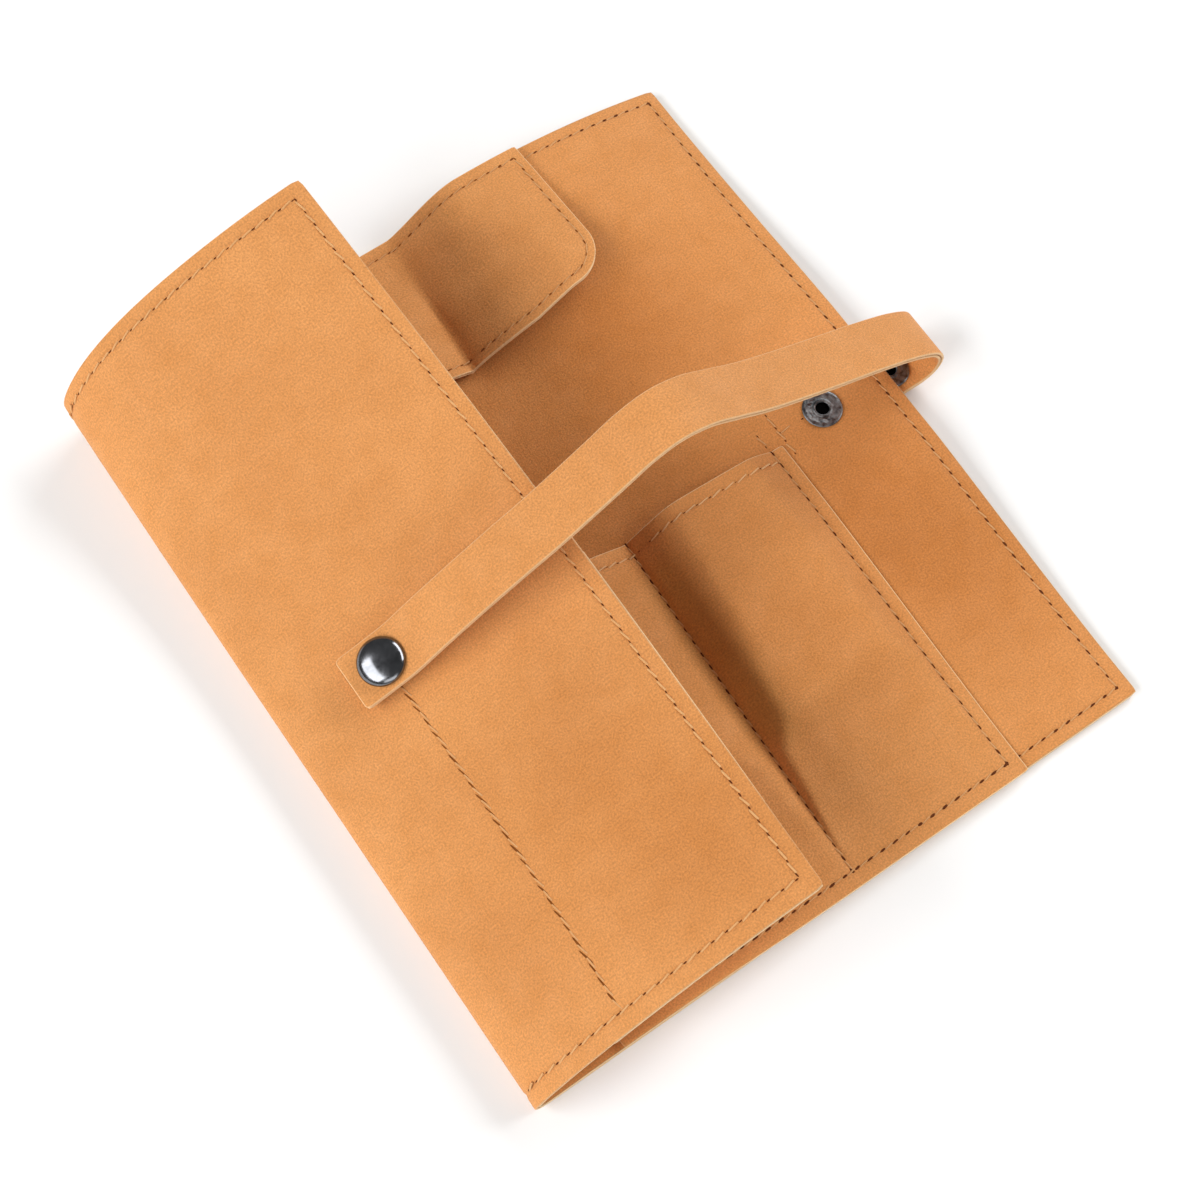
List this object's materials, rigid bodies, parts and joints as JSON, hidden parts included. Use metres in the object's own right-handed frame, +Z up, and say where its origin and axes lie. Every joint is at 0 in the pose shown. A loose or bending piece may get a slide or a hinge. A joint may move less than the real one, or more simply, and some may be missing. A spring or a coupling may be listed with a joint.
{
  "type": "watch strap pouch",
  "caption": "Folded nubuck pouch for spare watch straps, with sewn slots, a cover flap along the top and a snap strap that wraps from the flap round the right edge.",
  "frame": {"origin": "centre of the back panel's flat underside, on the surface the pouch lies on", "axes": "+X from the fold to the right edge, +Y from the bottom edge to the top edge, +Z up from the table"},
  "size_m": [0.1707, 0.184, 0.0594],
  "materials": {
    "leather_face": "tan nubuck",
    "leather_inside": "tan nubuck",
    "snap_cap": "polished gunmetal",
    "snap_antique": "antique gunmetal",
    "spring_steel": "bright"
  },
  "bodies": {
    "back": {"back_panel": "leather_face", "back_lining": "leather_inside", "pocket_strip": "leather_inside", "cover_hem": "leather_face", "fold_spine": "leather_face", "fold_lining": "leather_inside", "strap_lap_face": "leather_face", "strap_lap_lining": "leather_inside", "strap_bend_face": "leather_face", "strap_bend_lining": "leather_inside", "back_snap_stud": "snap_antique", "back_snap_eyelet": "snap_antique", "spare_snap_stud": "snap_antique", "spare_snap_eyelet": "snap_antique"},
    "flap": {"flap_panel": "leather_face", "flap_lining": "leather_inside", "flap_pocket": "leather_inside", "front_snap_stud": "snap_antique", "front_snap_eyelet": "snap_antique"},
    "strap": {"strap_face": "leather_face", "strap_lining": "leather_inside", "front_snap_cap": "snap_cap", "front_snap_socket": "snap_antique", "front_snap_spring": "spring_steel"},
    "cover": {"cover_face": "leather_face", "cover_lining": "leather_inside"}
  },
  "joints": [
    {"name": "flap_fold", "type": "hinge", "parent": "back", "child": "flap", "pos_m": [-0.075, 0, 0.007], "axis": [0, -1, 0], "range_deg": [0, 125], "deforming": ["fold_spine", "fold_lining"]},
    {"name": "strap_swing", "type": "hinge", "parent": "back", "child": "strap", "pos_m": [0.083, 0, 0.0105], "axis": [0, 1, 0], "range_deg": [0, 150], "deforming": ["strap_bend_face", "strap_bend_lining"]},
    {"name": "cover_lift", "type": "hinge", "parent": "back", "child": "cover", "pos_m": [0, 0.0862, 0.0125], "axis": [-1, 0, 0], "range_deg": [0, 100]}
  ],
  "couplings": [
    {"joint": "strap_swing", "follows": "flap_fold", "ratio": 1.2},
    {"joint": "cover_lift", "follows": "flap_fold", "ratio": 0.8}
  ]
}
